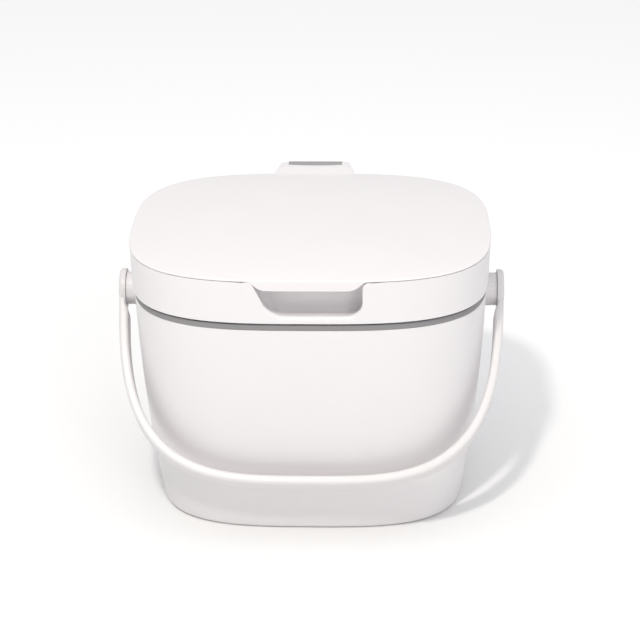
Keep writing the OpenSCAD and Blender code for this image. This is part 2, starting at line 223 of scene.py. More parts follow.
def even_shading(piece):
    """Lets the large faces set the normals, so that flats stay flat next to a radius."""
    normals = piece.modifiers.new("even shading", "WEIGHTED_NORMAL")
    normals.keep_sharp = True


def thicken(piece, thickness, offset, soft):
    """Gives a skin a wall, and rounds the wall's rims."""
    wall = piece.modifiers.new("wall", "SOLIDIFY")
    wall.thickness, wall.offset = thickness * MM, offset
    rims = piece.modifiers.new("soft rims", "BEVEL")
    rims.width, rims.segments = soft * MM, 3
    rims.limit_method, rims.angle_limit = "ANGLE", math.radians(60)
    even_shading(piece)


# %% [markdown]
# ## The bucket's shell
#
# The bucket is one thin polypropylene moulding. Its sides lean in towards the
# foot, so that it leaves the mould, and they bow out a little, so that the long
# sides don't look hollow. The foot is a narrow ring, and the bowl's corners are
# wide curves that are easy to rinse.
#
# The whole shell is one closed profile: up the outside, over the rim and down the
# inside. Outside the rim a step is left for the grey ring.

# %% Write down the bucket's shape
BASE_A, BASE_B, SIDE_BOW = 87.0, 66.5, 2.0    # half width and half depth at the foot, and the bow
WALL, STEP = 2.6, 1.45                        # the wall, and the depth of the step for the ring
FLOOR_Z, BOWL_R = 8.0, 16.0                   # the bowl's floor, and the curve up to its walls
UNDER_Z, FOOT_W, FOOT_R = 5.4, 5.0, 2.5       # the raised underside, the foot's width and rounding
MIDDLE = 46                                   # an inset near the oval's middle, where faces close


def bucket_row(inset, z):
    """The bucket's side at a height, moved in by inset."""
    bow = SIDE_BOW * math.sin(math.pi * z / SHOULDER_Z)
    return (
        BASE_A + (RIM_A - BASE_A) * z / SHOULDER_Z + bow - inset,
        BASE_B + (RIM_B - BASE_B) * z / SHOULDER_Z + bow - inset,
        z,
    )


def heights(low, high, count):
    """Evenly spread heights between two others, without the two."""
    return [low + (high - low) * (i + 1) / (count + 1) for i in range(count)]


print("the wall is", WALL, "mm, less", STEP, "mm behind the ring")

# %% Draw the bucket's shell
under = rounded([(MIDDLE, UNDER_Z, 0), (WALL, UNDER_Z, BOWL_R + WALL), (WALL, 30, 0)], steps=12)
under = [(MIDDLE, UNDER_Z), (30, UNDER_Z)] + [p for p in under if FOOT_W < p[0] < 30]
foot = rounded([(FOOT_W, 11, 0), (FOOT_W, 0, 0.5), (0, 0, FOOT_R), (0, 9, 0)])[:-1]
outside = [(0, z) for z in heights(FOOT_R, SHOULDER_Z - 1.5, 26)]
rim = rounded(
    [
        (0, 100, 0), (0, SHOULDER_Z, 0.5), (STEP, SHOULDER_Z, 0), (STEP, RIM_TOP, 0.2),
        (WALL, RIM_TOP, 0.4), (WALL, 90, 0),
    ]
)[1:-1]
inside = [(WALL, z) for z in heights(SHOULDER_Z, FLOOR_Z + BOWL_R, 22)]
bowl = rounded([(WALL, 60, 0), (WALL, FLOOR_Z, BOWL_R), (MIDDLE, FLOOR_Z, 0)], steps=12)[1:-1]
shell_profile = under + foot + outside + rim + inside + bowl + [(30, FLOOR_Z), (MIDDLE, FLOOR_Z)]
shell = oval_shell([bucket_row(inset, z) for inset, z in shell_profile])
print("the bucket's profile has", len(shell_profile), "points")

# %% [markdown]
# ## Turned pieces: hubs, pins and ears
#
# Round bosses and pins would be turned on a lathe, and their half profile is spun
# here in the same way. The profile is given as distance from the axis and place
# along it. Every axis on this object runs from side to side, along X.

# %% Spin a profile about an axis along X
def turned(profile, centre, side=1, steps=64):
    """Spins points (radius, x) about the X axis through centre. side -1 mirrors it."""
    bm = bmesh.new()
    line = [bm.verts.new((side * x, centre.y, centre.z + radius)) for radius, x in profile]
    edges = [bm.edges.new(pair) for pair in zip(line, line[1:])]
    bmesh.ops.spin(
        bm, geom=line + edges, cent=centre, axis=(1, 0, 0), angle=2 * math.pi, steps=steps, use_merge=True
    )
    return bm


# %% [markdown]
# ## The pivot hubs
#
# A round hub stands out from each side, high under the rim. The handle's pin clips
# into its end. The hub is part of the bucket's moulding, so it starts inside the
# wall.

# %% Turn the hubs
EAR_OUT = box_mm("handle")[1].x               # outside of the handle's ears
EAR_T, HUB_R = 3.8, 9.3                       # thickness of an ear, radius of a hub
HUB_OUT = EAR_OUT - EAR_T - 0.12              # the hub's end, just inside the ear
hub_root = bucket_row(0, PIVOT.z)[0]
hub_profile = rounded(
    [
        (0, hub_root - 1.3, 0), (HUB_R + 1.2, hub_root - 1.3, 0), (HUB_R, hub_root + 0.9, 1.5),
        (HUB_R, HUB_OUT, 0.12), (5.6, HUB_OUT, 0.2), (5.4, HUB_OUT - 0.6, 0.2),
        (3.8, HUB_OUT - 0.6, 0.2), (3.1, HUB_OUT - 1.2, 0), (0, HUB_OUT - 1.2, 0),
    ]
)
hubs = [turned(hub_profile, PIVOT, side) for side in (-1, 1)]
print("each hub is", round(HUB_OUT - hub_root, 1), "mm long")

# %% [markdown]
# ## The hinge post
#
# Behind the rim a hollow post carries the hinge barrel, so that the lid can swing
# clear of the bucket. Its outline is a few corners seen from the side, filled and
# drawn out to the post's width. The open foot gets two pockets, inset and pushed
# up, because a solid block would sink as it cools.

# %% Draw out the post
POST_W, BARREL_R = 29.0, 6.8
POST_ROOT, POST_HEEL, POST_FOOT = 125.4, 120.4, 102.4   # heights where its outline turns
post_side = [
    (LID_B + 1.3, HINGE.z), (LID_B + 1.3, RIM_TOP + 0.4), (RIM_B + 0.6, SHOULDER_Z - 0.5),
    (bucket_row(1.3, POST_ROOT)[1], POST_ROOT), (bucket_row(1.3, POST_FOOT)[1], POST_FOOT),
    (bucket_row(-0.6, POST_FOOT)[1], POST_FOOT), (HINGE.y + 3, POST_HEEL), (HINGE.y + 3, HINGE.z),
]


def draw_along_x(bm, faces, far):
    """Extrudes flat faces by a distance along X."""
    made = bmesh.ops.extrude_face_region(bm, geom=faces)["geom"]
    moved = [g for g in made if isinstance(g, bmesh.types.BMVert)]
    bmesh.ops.translate(bm, vec=(far, 0, 0), verts=moved)


post = bmesh.new()
outline = post.faces.new([post.verts.new((-POST_W / 2, y, z)) for y, z in post_side])
draw_along_x(post, [outline], POST_W)
bmesh.ops.recalc_face_normals(post, faces=post.faces)
print("the post is", POST_W, "mm wide")

# %% Round the post's back and push the pockets up
rear_edges = [
    e for e in post.edges
    if abs(e.verts[0].co.x - e.verts[1].co.x) < 1e-6 and min(v.co.y for v in e.verts) > HINGE.y - 12
    and max(v.co.y for v in e.verts) > HINGE.y + 2
]
bmesh.ops.bevel(post, geom=rear_edges, offset=1.2, segments=4, affect="EDGES", profile=0.5, material=-1)
everything = post.verts[:] + post.edges[:] + post.faces[:]
bmesh.ops.bisect_plane(post, geom=everything, plane_co=(0, 0, 0), plane_no=(1, 0, 0))
openings = [f for f in post.faces if f.normal.z < -0.2 and f.normal.y > 0.1 and f.calc_area() > 60]
bmesh.ops.inset_individual(post, faces=openings, thickness=1.8, use_even_offset=True)
made = bmesh.ops.extrude_discrete_faces(post, faces=openings)
for face in made["faces"]:
    bmesh.ops.translate(post, vec=(0, 0, 14), verts=face.verts)
print("post openings:", len(openings))

# %% Turn the barrel and finish the bucket's pieces
def rod(radius, half_length, softness):
    """A round bar along the hinge's axis."""
    corners = [
        (0, -half_length, 0), (radius, -half_length, softness), (radius, half_length, softness),
        (0, half_length, 0),
    ]
    return turned(rounded(corners), HINGE)


barrel = rod(BARREL_R, POST_W / 2, 0.5)
make_piece("bucket_shell", shell, "bucket", ["bucket"])
make_piece("pivot_hubs", hubs, "bucket", ["bucket"])
even_shading(make_piece("hinge_post", [post, barrel], "bucket", ["bucket"]))
even_shading(pieces["bucket_shell"])

# %% [markdown]
# ## The rim ring
#
# A soft grey band lies in the step between the bucket's shoulder and its rim. It is
# pressed on when the caddy is put together, so it is a closed section of its own:
# the last row is bridged to the first. Its top edge lies in the gap under the lid,
# where so little light comes that it shows as a thin dark line.

# %% Extrude the ring's section
RING_END = RIM_TOP + 0.05                    # the ring's upper edge
ring_profile = rounded(
    [
        (0.15, SHOULDER_Z + 0.02, 0.1), (0.15, RING_END, 0.25),
        (STEP - 0.05, RING_END, 0.1), (STEP - 0.05, SHOULDER_Z + 0.02, 0.1),
    ],
    steps=3,
)
ring_rows = [(RIM_A - inset, RIM_B - inset, z) for inset, z in ring_profile]
make_piece("rim_ring_band", oval_shell(ring_rows, closed=True), "bucket", ["rim_ring"])

# %% [markdown]
# ## The lid's top
#
# The top is a shallow crowned shell. Its edge is thin all round, and over the
# finger recess it turns down into a lip, which the fingers lift. The lip's ends
# sweep up to the edge in an S.
#
# The lip is the reason why a row's height may be a function: the row along the
# lower edge follows the lip, and the rows above it stay level.

# %% Follow the lip along the lid's front
CAP_EDGE, LIP_H = 0.9, 5.9
LIP_IN, LIP_OUT = 20.0, 31.6                  # where the S starts and where it ends


def smooth(u):
    u = min(1, max(0, u))
    return u * u * (3 - 2 * u)


def cap_edge(raise_by=0.0):
    """Height of the top's lower edge at a place, raised a little if asked."""
    def height(x, y):
        out = max(0, (abs(x) - LIP_IN) / (LIP_OUT - LIP_IN))
        drop = 0 if y > 0 else (LIP_H - CAP_EDGE) * (1 - smooth(out ** 1.7))
        return LID_Z - CAP_EDGE - drop + raise_by
    return height


def lid_row(inset, z):
    return LID_A - inset, LID_B - inset, z


def crown_row(part, inset, drop):
    """A row of the domed face, at part of the way from the middle to the edge."""
    return (LID_A - inset) * part, (LID_B - inset) * part, LID_Z + CROWN * (1 - part ** 3) - drop


dome = [0.985, 0.96, 0.92, 0.87, 0.8, 0.7, 0.58, 0.45, 0.32, 0.2, 0.09, 0.03]
cap_rows = [crown_row(part, 3, 2.4) for part in reversed(dome[3:])]
cap_rows += [lid_row(3, LID_Z - 2.4), lid_row(2.6, LID_Z - 2.5)]
cap_rows += [lid_row(2.5, cap_edge(0.3)), lid_row(2.2, cap_edge())]
cap_rows += [lid_row(0.3, cap_edge()), lid_row(0.09, cap_edge(0.08)), lid_row(0.0, cap_edge(0.25))]
cap_rows += [lid_row(u, z) for u, z in rounded([(0, 150, 0), (0, LID_Z, 0.55), (3, LID_Z + 0.1, 0)])[1:-1]]
cap_rows += [crown_row(part, 0, 0) for part in dome]
even_shading(make_piece("lid_cap", oval_shell(cap_rows, around=480), "lid", ["lid_top"]))

# %% [markdown]
# ## The lid's skirt and its finger recess
#
# The skirt is the wall of the lid. At the front it is pushed in to a pocket for
# the fingertips, with soft edges, as if pressed with a thumb.
#
# Cutting the pocket with a boolean would leave ragged faces along the cut. So the
# skirt is drawn as two sheets that meet: a strip round the sides and back, and a
# patch at the front. The patch starts as the frame of the mouth and is extruded
# inwards, over the rounded edge and down to the pocket's bottom. Each new loop
# keeps its place numbers, because an extruded vertex copies its layers.

# %% Place a point on the skirt
def skirt_wall(z):
    """Half width and half depth of the skirt's outside at a height."""
    lean = LID_DRAFT * (LID_Z - z) / LID_H
    return LID_A - lean, LID_B - lean


def on_front(x, z, depth=0.0):
    """The point of the lid's front at x and z, pushed in by depth."""
    a, b = skirt_wall(z)
    return Vector((x, depth - b * (1 - (abs(x) / a) ** SQUARENESS) ** (1 / SQUARENESS), z))


PATCH = 41.0                                  # half width of the front patch
SKIRT_TOP = LID_Z - CAP_EDGE - 0.3
SIDE_STEPS, FLOOR_STEPS = 22, 32
side_levels = [SKIRT_TOP - (SKIRT_TOP - SEAM_Z) * i / SIDE_STEPS for i in range(SIDE_STEPS + 1)]
print("the skirt is", round(SKIRT_TOP - SEAM_Z, 1), "mm high")

# %% Extrude the strip round the sides and back
strip = bmesh.new()
gone = [v for v in oval_loop(strip, 480) if v.co.y < 0 and abs(v.co.x) * LID_A < PATCH]
bmesh.ops.delete(strip, geom=gone, context="VERTS")
verts, loop = strip.verts[:], strip.edges[:]
a = b = 1
for i, z in enumerate(side_levels):
    if i:
        verts, loop = extrude_loop(strip, loop)
    new_a, new_b = skirt_wall(z)
    bmesh.ops.scale(strip, vec=(new_a / a, new_b / b, 1), verts=verts)
    a, b = new_a, new_b
    for v in verts:
        v.co.z = z
        if len(v.link_edges) - (1 if i else 0) == 1:   # the strip's two ends
            v.co = on_front(math.copysign(PATCH, v.co.x), z)
print("the strip has", len(strip.faces), "faces")

# %% Draw the frame of the mouth
MOUTH_Z, SIDE_X, TOP_R = 136.9, 29.3, 4.0     # the sill, the mouth's half width, its upper corners
LOW_LEFT, LOW_LEFT_R = -19.8, 14.0            # the left side leans in, to a wide corner
LOW_RIGHT_R = 8.5
MOUTH_STEPS = 2 * SIDE_STEPS + FLOOR_STEPS


def mouth_frame():
    """Points (x, z, out_x, out_z), evenly spaced down the left side, along the sill and up."""
    path = [Vector(p) for p in rounded(
        [
            (-SIDE_X - TOP_R, SKIRT_TOP, 0), (-SIDE_X, SKIRT_TOP, TOP_R - 1.2),
            (LOW_LEFT, MOUTH_Z, LOW_LEFT_R), (SIDE_X, MOUTH_Z, LOW_RIGHT_R),
            (SIDE_X, SKIRT_TOP, TOP_R), (SIDE_X + TOP_R, SKIRT_TOP, 0),
        ],
        steps=40,
    )]
    run = [0.0]
    for p, q in zip(path, path[1:]):
        run.append(run[-1] + (q - p).length)
    frame, k = [], 0
    for step in range(MOUTH_STEPS + 1):
        wanted = run[-1] * step / MOUTH_STEPS
        while k < len(run) - 2 and run[k + 1] < wanted:
            k += 1
        along = (path[k + 1] - path[k]).normalized()
        point = path[k] + along * (wanted - run[k])
        frame.append((point.x, point.y, along.y, -along.x))
    return frame


mouth = mouth_frame()
print("the mouth's frame has", len(mouth), "points")


# %% Say how the edge and the pocket run round the frame
POCKET_D, UNDERCUT, BACK_R = 13.5, 2.5, 3.5   # depth, widening behind the sill, rounded bottom
POCKET_ROOF = LID_Z - 2.9                     # the pocket stays under the lid's top


def patch_border(i):
    """The patch's border point that belongs to point i of the mouth's frame."""
    last = len(mouth) - 1
    if i <= SIDE_STEPS:
        return -PATCH, side_levels[i]
    if i >= last - SIDE_STEPS:
        return PATCH, side_levels[last - i]
    return -PATCH + 2 * PATCH * (i - SIDE_STEPS) / (last - 2 * SIDE_STEPS), SEAM_Z


def lip_radius(i):
    """Rounding of the mouth's edge: small at the sides, soft along the sill."""
    x, z, ox, oz = mouth[i]
    if z > SKIRT_TOP - TOP_R:
        return 0.4 + 0.5 * abs(ox)
    return 0.9 + 1.3 * smooth(-oz)


def undercut(i):
    """How far the pocket widens behind its mouth, most of all behind the sill."""
    x, z, ox, oz = mouth[i]
    return UNDERCUT * smooth(-oz) + 0.3 if z < SKIRT_TOP - TOP_R else 0.0


print("the sill is rounded by", round(lip_radius(len(mouth) // 2), 2), "mm")

# %% Extrude the patch inwards to the pocket
def patch_row(kind, t):
    """Returns a function from a frame point's number to its place in this row."""
    def place(i):
        x, z, ox, oz = mouth[i]
        r = lip_radius(i)
        if kind == "wall":                    # from the border to the rounded edge
            bx, bz = patch_border(i)
            ex, ez = x + ox * r, z + oz * r
            return on_front(bx + (ex - bx) * t, bz + (ez - bz) * t)
        if kind == "edge":
            angle = math.radians(90 * t)
            out, depth = r * (1 - math.sin(angle)), r * (1 - math.cos(angle))
        elif kind == "side":
            out = undercut(i) * smooth(t * 2.5)
            depth = r + (POCKET_D - BACK_R - r) * t
        else:                                 # the rounded bottom of the pocket
            angle = math.radians(90 * t)
            out = undercut(i) - BACK_R * (1 - math.cos(angle))
            depth = POCKET_D - BACK_R * (1 - math.sin(angle))
        z = z + oz * out
        return on_front(x + ox * out, min(z, POCKET_ROOF) if depth > 2.4 else z, depth)
    return place


rows = [("wall", t) for t in (0, 0.3, 0.6, 0.85, 0.95, 1)]
rows += [("edge", t / 6) for t in range(1, 7)] + [("side", t / 10) for t in (1, 2, 3, 4, 7, 10)]
rows += [("back", t / 9) for t in range(1, 10)]
patch = bmesh.new()
number = patch.verts.layers.int.new("place")
verts = [patch.verts.new() for _ in mouth]
for i, v in enumerate(verts):
    v[number] = i
loop = [patch.edges.new(pair) for pair in zip(verts, verts[1:])]
for i, row in enumerate(rows):
    if i:
        verts, loop = extrude_loop(patch, loop)
    place = patch_row(*row)
    for v in verts:
        v.co = place(v[number])
patch.edges.new([v for v in verts if v[number] in (0, len(mouth) - 1)])
last = set(verts)
bmesh.ops.contextual_create(patch, geom=[e for e in patch.edges if set(e.verts) <= last])
print("the patch has", len(patch.faces), "faces")

# %% Join the two sheets and give them a wall
skin = bpy.data.meshes.new("skirt skin")
joined = bmesh.new()
for sheet in (strip, patch):
    sheet.to_mesh(skin)
    joined.from_mesh(skin)
    sheet.free()
bpy.data.meshes.remove(skin)
skirt = make_piece("lid_skirt_wall", joined, "lid", ["lid_skirt"])
rear = max(skirt.data.polygons, key=lambda p: p.center.y)
if rear.normal.y < 0:
    skirt.data.flip_normals()
thicken(skirt, 1.7, -1, soft=0.25)
print("the pocket is", POCKET_D, "mm deep")

# %% [markdown]
# ## The hinge tab, its cheeks and the thumb pad
#
# Behind the lid a tab reaches over the hinge. A thumb pressed on its end swings
# the lid open, so a grey pad is set into it there. Under the tab two cheeks hold
# the pin, one at each side of the post's barrel.
#
# The tab is a rounded section that is extruded backwards in steps, and each step
# is scaled a little smaller. The last steps follow a quarter circle, which rounds
# the tab's end in one go.

# %% Extrude the tab backwards
TAB_TOP, TAB_UNDER, TAB_END = LID_Z + 1.2, LID_Z - 2.6, LID_B + 19.5
TAB_W, TAB_END_W = 48.0, 39.0                 # width at the lid and at the end
TAB_SOFT, CORNER_R = 3.5, 4.0                 # rounding of the end, and of its corners


def tab_half_width(y):
    straight = (TAB_W + (TAB_END_W - TAB_W) * (y - LID_B) / (TAB_END - LID_B)) / 2
    turn = max(0.0, y - (TAB_END - CORNER_R))
    return straight - CORNER_R + math.sqrt(max(0.0, CORNER_R ** 2 - turn * turn))


def tab_top(y):
    """The tab grows out of the lid's crown, and its end is rounded."""
    turn = max(0.0, y - (TAB_END - TAB_SOFT))
    sunk = (TAB_TOP - LID_Z - 0.25) * (1 - smooth((y - 76) / 14))
    return TAB_TOP - sunk - TAB_SOFT + math.sqrt(max(0.0, TAB_SOFT ** 2 - turn * turn))


def tab_under(y):
    return TAB_UNDER - 2.0 * smooth((y - (TAB_END - CORNER_R)) / 2)


tab = bmesh.new()
verts = bmesh.ops.create_grid(tab, x_segments=1, y_segments=1, size=0.5)["verts"]
round_off = {"profile": 0.5, "material": -1}
bmesh.ops.bevel(tab, geom=tab.verts[:], offset=0.13, segments=5, affect="VERTICES", **round_off)
bmesh.ops.rotate(tab, verts=tab.verts, cent=(0, 0, 0), matrix=Matrix.Rotation(math.radians(90), 3, "X"))
stations = [76, 78, 80, 81.5, 83, 85, 87, 89, 91, TAB_END - CORNER_R]
stations += [TAB_END - CORNER_R * (1 - math.sin(math.radians(a))) for a in (15, 30, 45, 58, 70, 78, 84, 88)]
loop, section = tab.edges[:], tab.verts[:]
size = Vector((1, 1, 1))
middle = Vector((0, 0, 0))
for i, y in enumerate(stations):
    if i:
        section, loop = extrude_loop(tab, loop)
    new = Vector((2 * tab_half_width(y), 1, tab_top(y) - tab_under(y)))
    place = Vector((0, y, (tab_top(y) + tab_under(y)) / 2))
    bmesh.ops.translate(tab, vec=-middle, verts=section)
    bmesh.ops.scale(tab, vec=[n / s for n, s in zip(new, size)], verts=section)
    bmesh.ops.translate(tab, vec=place, verts=section)
    size, middle = new, place
bmesh.ops.contextual_create(tab, geom=loop)
print("the tab ends at y", round(TAB_END, 1))

# %% Draw out the cheeks
CHEEK_X, CHEEK_T, CHEEK_R = 14.8, 4.2, 6.3    # inner side, thickness, round end
cheeks = []
for side in (-1, 1):
    cheek = bmesh.new()
    round_end = bmesh.ops.create_circle(cheek, cap_ends=True, segments=64, radius=CHEEK_R)["verts"]
    for v in round_end:
        y, z = v.co.x, v.co.y
        v.co = (side * CHEEK_X, HINGE.y + y, HINGE.z + z if z <= 0 else TAB_UNDER + 0.6)
    draw_along_x(cheek, cheek.faces[:], side * CHEEK_T)
    cheeks.append(cheek)
tab_piece = make_piece("hinge_tab", [tab, *cheeks], "lid", ["lid_skirt"], sharp=50)
even_shading(tab_piece)

# %% Lay the thumb pad over the tab's end
PAD_W, PAD_FRONT = 32.2, TAB_END - 9.2
pad = bmesh.new()
line = [pad.verts.new((PAD_W * (i / 16 - 0.5), 0, 0)) for i in range(17)]
loop = [pad.edges.new(pair) for pair in zip(line, line[1:])]
over = [(PAD_FRONT, TAB_TOP), (93, TAB_TOP), (TAB_END - TAB_SOFT, TAB_TOP)]
for degrees in range(10, 100, 10):
    a = math.radians(degrees)
    over.append((TAB_END - TAB_SOFT + TAB_SOFT * math.sin(a), TAB_TOP - TAB_SOFT + TAB_SOFT * math.cos(a)))
over.append((TAB_END, TAB_TOP - TAB_SOFT - 1))
verts = line
for i, (y, z) in enumerate(over):
    if i:
        verts, loop = extrude_loop(pad, loop)
    for v in verts:
        v.co.y, v.co.z = y + (v.co.x ** 2 / 200 if i == 0 else 0), z
thumb_pad = make_piece("thumb_pad_grip", pad, "lid", ["thumb_pad"])
top = max(thumb_pad.data.polygons, key=lambda p: p.center.z)
if top.normal.z < 0:
    thumb_pad.data.flip_normals()
thicken(thumb_pad, 1.2, -0.6, soft=0.22)
print("the pad is", PAD_W, "mm wide")

# %% Turn the hinge pin
PIN_END = CHEEK_X + CHEEK_T - 0.3
make_piece("hinge_pin_rod", rod(2, PIN_END, 0.4), "lid", ["hinge_pin"])

# %% [markdown]
# ## The liner under the lid
#
# A tray closes the lid from below. Its plug reaches down into the bucket's mouth,
# and its flat rim lies over the bucket's rim when the lid is shut. It is one more
# stack of ovals, so the extruded rows of the bucket and the lid's top do again.

# %% Extrude the liner
liner_low, liner_high = box_mm("lid_liner")
LINER_EDGE, PLUG = LID_A - liner_high.x, 6.0  # insets of the tray's edge and of its plug
PLATE_LOW, EDGE_LOW, PLATE_TOP = SEAM_Z - 1.0, SEAM_Z - 0.3, SEAM_Z + 0.3
liner_profile = [(MIDDLE, PLATE_LOW), (PLUG + 8, PLATE_LOW)] + rounded(
    [
        (PLUG + 8, PLATE_LOW, 0), (PLUG + 2, PLATE_LOW, 1.2), (PLUG + 2, liner_low.z, 0.8),
        (PLUG, liner_low.z, 0.9), (PLUG, EDGE_LOW, 0.3), (LINER_EDGE, EDGE_LOW, 0.3),
        (LINER_EDGE, PLATE_TOP, 0.3), (LINER_EDGE + 8, PLATE_TOP, 0),
    ]
)[1:] + [(MIDDLE, PLATE_TOP)]
liner = oval_shell([lid_row(inset, z) for inset, z in liner_profile])
even_shading(make_piece("lid_liner_tray", liner, "lid", ["lid_liner"]))

# %% [markdown]
# ## The bail handle
#
# The handle is one moulded strap, wide and thin, that runs from ear to ear in
# front of the bucket. Its loop is an oval of its own, in a plane through the pivot
# axis. The strap thins out beside each hub and ends in a round ear.
#
# The strap is a rounded section, carried along the loop: extrude it, then move it
# from one station's frame to the next. That keeps the section square to the loop,
# where a scaled copy would lean.

# %% Find the handle's loop
REACH, LOOP_A = 116.4, EAR_OUT - 0.1          # half depth and half width of the loop
LOOP_POWER, LOOP_LEAN = 3.4, 6.0              # its squareness, and how far its sides lean in
TILT = math.radians(46.015)                   # it hangs this far below level
STRAP_W, STRAP_T, STRAP_THIN = 14.6, 5.2, 3.4  # width, thickness, and thickness beside a hub


def loop_point(t):
    """Outside of the strap in the handle's plane: across, and away from the pivots."""
    reach = abs(math.sin(t)) ** (2 / LOOP_POWER)
    across = (LOOP_A - LOOP_LEAN * reach ** 1.5) * abs(math.cos(t)) ** (2 / LOOP_POWER)
    return Vector((math.copysign(across, math.cos(t)), REACH * reach, 0))


def evenly_along(start, end, count):
    """Angles whose loop points are about equally far apart."""
    fine = [start + (end - start) * i / 4000 for i in range(4001)]
    run = [0.0]
    for s, t in zip(fine, fine[1:]):
        run.append(run[-1] + (loop_point(t) - loop_point(s)).length)
    wanted, chosen = 0, []
    for t, length in zip(fine, run):
        if length >= run[-1] * wanted / count - 1e-9 and wanted <= count:
            chosen.append(t)
            wanted += 1
    return chosen


first_angle = math.asin((6.7 / REACH) ** (LOOP_POWER / 2))
loop_angles = evenly_along(first_angle, math.pi - first_angle, 150)
print("the loop is drawn in", len(loop_angles), "stations")


def station(t):
    """Frame of the strap's section: inwards, across the strap, and along the loop."""
    here, ahead = loop_point(t), loop_point(min(t + 0.002, math.pi - 1e-4)) - loop_point(t - 0.002)
    along = ahead.normalized()
    inward = Vector((-along.y, along.x, 0))
    depth = STRAP_THIN + (STRAP_T - STRAP_THIN) * smooth((here.y - HUB_R - 1) / 6)
    turn = Matrix((inward * depth, Vector((0, 0, 1)) * STRAP_W, along)).transposed()
    return Matrix.Translation(here) @ turn.to_4x4()


# %% Carry the section along the loop
strap = bmesh.new()
bmesh.ops.create_grid(strap, x_segments=1, y_segments=1, size=0.5)
bmesh.ops.scale(strap, vec=(STRAP_T, STRAP_W, 1), verts=strap.verts)
bmesh.ops.bevel(strap, geom=strap.verts[:], offset=1.8, segments=6, affect="VERTICES", **round_off)
bmesh.ops.scale(strap, vec=(1 / STRAP_T, 1 / STRAP_W, 1), verts=strap.verts)
bmesh.ops.translate(strap, vec=(0.5, 0, 0), verts=strap.verts)
section, loop = strap.verts[:], strap.edges[:]
now = Matrix.Identity(4)
for i, t in enumerate(loop_angles):
    if i:
        section, loop = extrude_loop(strap, loop)
    then = station(t)
    bmesh.ops.transform(strap, matrix=then @ now.inverted(), verts=section)
    now = then
bmesh.ops.contextual_create(strap, geom=loop)

# %% Hang the strap and turn the ears
hang = Matrix.Translation(PIVOT) @ Matrix.Rotation(TILT, 4, "X") @ Matrix.Diagonal((1, -1, 1, 1))
bmesh.ops.transform(strap, matrix=hang, verts=strap.verts)
EAR_R, HEAD_R, SEAT = 11.2, 5.5, 5.5 + 0.12   # radius of the ear, of the pin's head and its seat
ear_profile = rounded(
    [
        (0, EAR_OUT - EAR_T, 0), (EAR_R, EAR_OUT - EAR_T, 0.2), (EAR_R, EAR_OUT, 2.0),
        (SEAT, EAR_OUT, 0.25), (SEAT, EAR_OUT - 1.5, 0), (0, EAR_OUT - 1.5, 0),
    ]
)
ears = [turned(ear_profile, PIVOT, side, steps=96) for side in (-1, 1)]
even_shading(make_piece("handle_strap", [strap, *ears], "handle", ["handle"]))

# %% Turn the pivot pins
pin_profile = rounded(
    [
        (0, HUB_OUT - 6, 0), (2.6, HUB_OUT - 6, 0.3), (2.6, EAR_OUT - 1.4, 0),
        (HEAD_R, EAR_OUT - 1.4, 0), (HEAD_R, EAR_OUT, 0.35), (3.4, EAR_OUT, 0.3),
        (2.9, EAR_OUT - 0.45, 0.3), (0, EAR_OUT - 0.45, 0),
    ]
)
for side, word in ((-1, "left"), (1, "right")):
    button = turned(pin_profile, PIVOT, side)
    piece = make_piece(f"pivot_button_{word}", button, "handle", [f"pivot_pin_{word}"])
    even_shading(piece)

# %% [markdown]
# ## Writing shaders as sums
#
# A material's pattern is arithmetic on coordinates and noise. Laid out as boxes and
# wires it is hard to read, so a socket is wrapped in a small class whose operators
# add the Math nodes, and `noise * 0.04 + 0.36` reads as what it does.

# %% Wrap a socket
class Wire:
    """A number that varies over the surface. Sums on it add Math nodes."""

    def __init__(self, finish, socket):
        self.finish, self.socket = finish, socket

    def math(self, operation, left, right):
        made = self.finish.node("ShaderNodeMath", {"operation": operation}, {0: left, 1: right})
        return Wire(self.finish, made.outputs[0])

    def __add__(self, other):
        return self.math("ADD", self, other)

    def __sub__(self, other):
        return self.math("SUBTRACT", self, other)

    def __rsub__(self, other):
        return self.math("SUBTRACT", other, self)

    def __mul__(self, other):
        return self.math("MULTIPLY", self, other)

    __radd__, __rmul__ = __add__, __mul__

    def clamped(self):
        made = self.finish.node("ShaderNodeClamp", None, {"Value": self})
        return Wire(self.finish, made.outputs[0])

    def above(self, floor):
        return self.math("MAXIMUM", self, floor)


